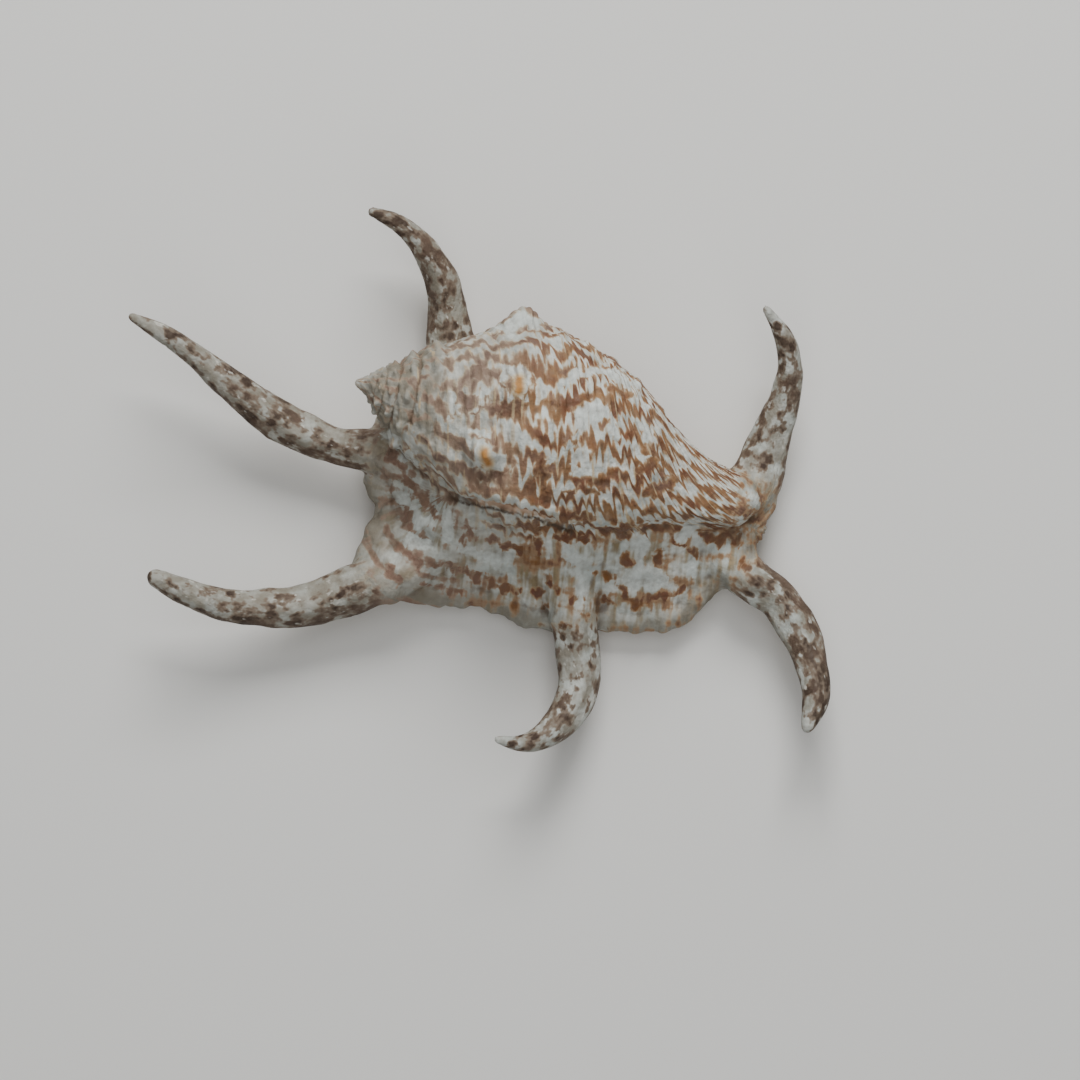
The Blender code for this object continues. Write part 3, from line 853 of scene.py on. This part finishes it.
def ramp(value, low, high, start=0.0, end=1.0):
    """A smooth step from start to end as the value goes from low to high."""
    made = tree.nodes.new("ShaderNodeMapRange")
    made.interpolation_type = "SMOOTHSTEP"
    tree.links.new(value, made.inputs[0])
    for socket, number in zip(list(made.inputs)[1:5], (low, high, start, end)):
        socket.default_value = number
    return made.outputs[0]


def colour_mix(share, a, b, blend_type="MIX"):
    made = tree.nodes.new("ShaderNodeMix")
    made.data_type = "RGBA"
    made.blend_type = blend_type
    for socket, value in ((made.inputs[0], share), (made.inputs[6], a), (made.inputs[7], b)):
        if isinstance(value, bpy.types.NodeSocket):
            tree.links.new(value, socket)
        else:
            socket.default_value = value
    return made.outputs[2]


def stretched(place, x, y, z):
    return node("VectorMath", place, (1 / x, 1 / y, 1 / z), operation="MULTIPLY")


def speckle(place, x, y, z=1000.0, detail=2.0, rough=0.5):
    """Noise between about -1 and 1 whose lumps are about half of x by y by z millimetres."""
    noise = node("TexNoise", stretched(place, x, y, z), None, 1.0, detail, rough, output=0)
    return maths("MULTIPLY_ADD", noise, 4.0, -2.0)


def blotches(size, detail=2.0):
    """The same with round lumps, over the whole shell."""
    return speckle(everywhere, size, size, size, detail)


body, lip, digits = field_place("body"), field_place("lip"), field_place("digits")
everywhere = node("VectorMath", node("TexCoord", output=3), (1 / MM, 1 / MM, 1 / MM), operation="MULTIPLY")
on_body, on_lip, on_digit = field("on_body"), field("on_lip"), field("on_digit")
on_spire, faded = field("on_spire"), field("faded")
fresh = less(faded)

# Brown bands of the body: between two cords each is carried on in an arch
cord_count = plus(times(node("SeparateXYZ", body), 1 / CELL_WIDTH), times(speckle(body, 7.0, 14.0), 0.5))
arch = maths("SINE", times(maths("PINGPONG", cord_count, 0.5), math.pi))
arch_depth = ramp(speckle(body, 6.0, 8.0), -1.0, 1.0, 0.3 * ARCH / BAND_PITCH, 1.5 * ARCH / BAND_PITCH)
arch = times(arch, plus(times(fresh, 0.55), 0.45), arch_depth)
jump = times(speckle(body, 2.8, 9.0), 0.22)
band = maths("COSINE", times(plus(field("growth_band"), arch, jump), math.tau))
torn = plus(times(speckle(body, 2.4, 4.5), 0.55), times(speckle(body, 12.0, 10.0), 0.6))
body_brown = plus(times(band, plus(times(fresh, 0.3), 0.55)), torn)
body_brown = plus(body_brown, times(faded, -0.25), times(on_spire, -0.3), 0.08)
# The lip has fewer marks, in bands along its growth, cut through by its cords
lip_band = times(speckle(lip, 16.0, 4.5), 0.8)
web_band = plus(times(speckle(lip, 18.0, 2.6), 0.7), 0.16)
lip_brown = plus(lip_band, times(speckle(lip, 2.2, 8.0), 0.7), -0.38, times(web_band, faded))
# By the canal's root, where the cords of the lip and of the body meet, the marks are a mottle
root_mottle = plus(times(blotches(5.0), 0.7), times(blotches(2.0), 0.9))
lip_brown = node("Mix", field("canal_root"), None, lip_brown, plus(root_mottle, 0.05))
# Digits: streaks along them, torn patches and small dark dots, more on one side than on the other
digit_brown = plus(times(speckle(digits, 12.0, 5.0, 5.0), 0.6), times(speckle(digits, 7.0, 1.7, 1.7), 0.45))
digit_brown = plus(digit_brown, speckle(digits, 3.2, 2.4, 2.4), times(field("digit_side"), 0.8), -0.2)
brown = plus(times(body_brown, on_body), times(lip_brown, on_lip), times(digit_brown, on_digit))
ragged = plus(times(speckle(body, 1.8, 5.0), 0.6), times(blotches(1.6), 0.2))
ragged = plus(ragged, times(speckle(lip, 1.8, 7.0), on_lip, 0.7))
# The placed strokes: brown over the rule's marks, white over both
brown = plus(maths("MAXIMUM", brown, plus(field("brown_mark"), ragged)), times(blotches(1.4), 0.16))
white = plus(field("white_mark"), ragged)
brown = maths("MINIMUM", brown, times(white, -1.0))

# Ground colour: blue-white, with cream on the cords, and painted shade along the lip's rim (the pores are
# shaded further down)
pale = colour_mix(ramp(blotches(9), -0.7, 0.9), linear("D4D8D2"), linear("B8C0BB"))
cord_crest = maths("COSINE", times(node("SeparateXYZ", body), math.tau / CORD_PITCH))
cord_cream = ramp(plus(times(cord_crest, 0.5), times(speckle(body, 2.0, 12.0), 0.7)), 0.15, 0.9)
pale = colour_mix(times(cord_cream, on_body, 0.6), pale, linear("C2AD8A"))
lip_streak = plus(times(speckle(lip, 2.2, 12.0), 0.8), times(blotches(5), 0.5))
pale = colour_mix(times(ramp(lip_streak, -0.2, 0.7, 0.0, 0.95), on_lip), pale, linear("84724F"))
open_web = less(times(faded, on_lip, 0.7))
web = times(faded, on_lip, ramp(blotches(9), -0.9, 0.3, 0.7, 0.15))
pale = colour_mix(web, pale, linear("8E8270"))
dulled = times(faded, ramp(blotches(8), -0.8, 0.6, 0.85, 0.3), open_web)
pale = colour_mix(dulled, pale, linear("98958A"))
pale = colour_mix(times(on_spire, ramp(blotches(5), -0.6, 0.9, 0.95, 0.25)), pale, linear("7A7466"))
digit_dust = ramp(speckle(digits, 5, 3, 3), -0.6, 0.6, 0.9, 0.25)
pale = colour_mix(times(on_digit, digit_dust), pale, linear("807A6C"))
# Painted shade: a grey band, broken into blotches, along the steep rim of the lip
rim_shade = times(ramp(node("SeparateXYZ", lip, output=2), 6.5, 1.5), on_lip)
pale = colour_mix(times(rim_shade, ramp(blotches(7), -0.8, 0.8, 0.95, 0.6)), pale, linear("7C7668"))
whiter = plus(white, times(blotches(2.6), 0.35))
pale = colour_mix(ramp(whiter, -0.4, 0.8, 0.0, 0.8), pale, linear("CBD1CC"))
fleck = times(on_digit, ramp(speckle(digits, 3.0, 1.8, 1.8), 0.5, 0.9, 0.0, 0.85))

# Brown: tan edges, rust, and darker hearts; mauve where faded, and purple-brown on the lip
tan = colour_mix(faded, linear("A08060"), linear("94806F"))
tan = colour_mix(on_digit, tan, linear("76685A"))
rust = colour_mix(ramp(speckle(body, 7.0, 9.0), -0.6, 0.8), linear("6C4430"), linear("8E6A46"))
rust = colour_mix(ramp(speckle(body, 9.0, 9.0), 0.1, 0.8), rust, linear("74584A"))
rust = colour_mix(ramp(brown, 0.9, 1.6), rust, linear("5E3A24"))
mauve = colour_mix(ramp(blotches(8), -0.6, 0.8), linear("6C564C"), linear("85705F"))
purple = colour_mix(ramp(blotches(9), -0.3, 0.5), linear("6A4234"), linear("7A4E22"))
digit_dark = colour_mix(ramp(speckle(digits, 9, 4, 4), -0.6, 0.8), linear("34261E"), linear("5A483C"))
purple = colour_mix(times(faded, 0.85), purple, linear("876C5C"))
purple = colour_mix(field("canal_root"), purple, linear("745648"))
heart = colour_mix(faded, rust, mauve)
heart = colour_mix(times(on_lip, 0.8), heart, purple)
heart = colour_mix(on_digit, heart, digit_dark)

# The coat: the ground, a cream edge round each mark, its tan edge and its heart
plain_lip = times(on_lip, plus(times(faded, 0.5), 0.5))
plain_edge = maths("MAXIMUM", maths("MAXIMUM", on_digit, times(on_spire, 0.7)), plain_lip)
cream_edge = times(ramp(brown, -0.5, -0.1, 0.0, 0.6), less(plain_edge))
coat = colour_mix(cream_edge, pale, linear("BCA684"))
marked = plus(brown, times(on_digit, -0.1))
coat = colour_mix(ramp(marked, -0.24, 0.16), coat, tan)
coat = colour_mix(ramp(marked, 0.06, 0.68), coat, heart)
coat = colour_mix(fleck, coat, linear("C8C6BC"))
cord_line = ramp(plus(times(cord_crest, 0.5), times(speckle(body, 1.8, 8.0), 0.8)), 0.65, 1.05)
coat = colour_mix(times(cord_line, on_body, 0.75), coat, linear("BEA884"))
# Painted shade: a dark line along the crease between the last whorl and the lip
crease = plus(field("crease"), times(ragged, 0.25))
coat = colour_mix(ramp(crease, -0.55, 0.1, 0.0, 0.95), coat, linear("3A2C22"))
coat = colour_mix(ramp(field("orange_spot"), -0.9, 0.2, 0.0, 0.6), coat, linear("D0B888"))
coat = colour_mix(ramp(field("orange_spot"), -0.3, 1.1, 0.0, 0.95), coat, linear("AE752E"))

# Painted shade in the crevices and pores and in wide hollows, and a fine mottle all over
crevice_shade = plus(times(field("crevice"), 2.5), times(blotches(2.4), 0.25))
coat = colour_mix(ramp(crevice_shade, 0.2, 1.0, 0.0, 0.6), coat, linear("5A4634"))
hollow_shade = times(ramp(field("wide_crevice"), 0.2, 1.4, 0.0, 0.6), open_web)
coat = colour_mix(hollow_shade, coat, linear("4E3A2C"))
mottle = plus(times(blotches(1.5), 0.6), times(blotches(4.0), 0.4))
coat = colour_mix(ramp(mottle, -1.0, 0.9, 0.42, 0.0), coat, linear("6A5E50"))

# The mouth and the lip's underside: porcelain, cream to orange-pink, with tan streaks
glaze = colour_mix(ramp(blotches(12), -0.8, 0.8), linear("D8B597"), linear("C99A78"))
lirae = ramp(speckle(lip, 18.0, 2.4), -0.2, 0.7)
glaze = colour_mix(times(lirae, 0.5), glaze, linear("E3D3BE"))
underneath = colour_mix(ramp(blotches(12), -0.5, 0.9), linear("C9B9A2"), linear("B39A80"))
coat = colour_mix(times(field("below"), 0.75), coat, underneath)
coat = colour_mix(field("in_mouth"), coat, glaze)

# Fine grain, and gloss in the mouth alone
grain = plus(times(blotches(1.0, detail=3.0), 0.6), times(speckle(body, 1.0, 9.0), 0.5))
bump = node("Bump", 0.7, 0.0002, None, grain)
roughness = plus(ramp(blotches(3.0), -1, 1, 0.5, 0.72), times(field("in_mouth"), -0.25))
shader = tree.nodes.new("ShaderNodeBsdfPrincipled")
output = tree.nodes.new("ShaderNodeOutputMaterial")
tree.links.new(coat, shader.inputs["Base Color"])
shader.inputs["Specular IOR Level"].default_value = 0.2
shader.inputs["Coat Roughness"].default_value = 0.12
tree.links.new(times(field("in_mouth"), 0.6), shader.inputs["Coat Weight"])
tree.links.new(roughness, shader.inputs["Roughness"])
tree.links.new(bump, shader.inputs["Normal"])
tree.links.new(shader.outputs[0], output.inputs[0])
conch_mesh.materials.clear()
conch_mesh.materials.append(shell_material)

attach(conch, "root")
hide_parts("shell")

# The place and the light
# The shell lies on a plain pale sheet under soft light, and the camera looks straight
# down, with the top of the picture towards +Y.

FLOOR_HALF = 1.5
floor_mesh = bpy.data.meshes.new("floor")
corners = [(-FLOOR_HALF, -FLOOR_HALF, 0), (FLOOR_HALF, -FLOOR_HALF, 0)]
corners += [(FLOOR_HALF, FLOOR_HALF, 0), (-FLOOR_HALF, FLOOR_HALF, 0)]
floor_mesh.from_pydata(corners, [], [(0, 1, 2, 3)])
floor = bpy.data.objects.new("floor", floor_mesh)
bpy.context.scene.collection.objects.link(floor)
paper = bpy.data.materials.new("pale_paper")
paper.use_nodes = True
paper.node_tree.nodes["Principled BSDF"].inputs["Base Color"].default_value = linear("D9D8D4")
paper.node_tree.nodes["Principled BSDF"].inputs["Roughness"].default_value = 0.9
floor_mesh.materials.append(paper)


# Name, place and size in metres, power in watts
LAMPS = [
    ("window", (0.1, 0.9, 0.8), 0.55, 16),
    ("ceiling", (0.0, 0.2, 1.3), 0.9, 5),
    ("room", (0.2, -0.7, 0.9), 0.9, 3),
]

for name, place, size, power in LAMPS:
    lamp = bpy.data.lights.new(name, "AREA")
    lamp.size = size
    lamp.energy = power
    made = bpy.data.objects.new(name, lamp)
    made.location = place
    made.rotation_euler = (-Vector(place)).to_track_quat("-Z", "Y").to_euler()
    bpy.context.scene.collection.objects.link(made)

world = bpy.data.worlds.new("room_light")
world.use_nodes = True
world.node_tree.nodes["Background"].inputs[0].default_value = linear("C8CCD0")
world.node_tree.nodes["Background"].inputs[1].default_value = 0.25
bpy.context.scene.world = world

SENSOR = 36.0
FRAME_WIDTH = 262.3
lens = bpy.data.cameras.new("photo_camera")
lens.sensor_width = SENSOR
lens.lens = SENSOR * (CAMERA_HEIGHT - PHOTO_PLANE) / FRAME_WIDTH
camera = bpy.data.objects.new("photo_camera", lens)
camera.location = (CAMERA_PLACE[0] * MM, CAMERA_PLACE[1] * MM, CAMERA_HEIGHT * MM)
bpy.context.scene.collection.objects.link(camera)
bpy.context.scene.camera = camera
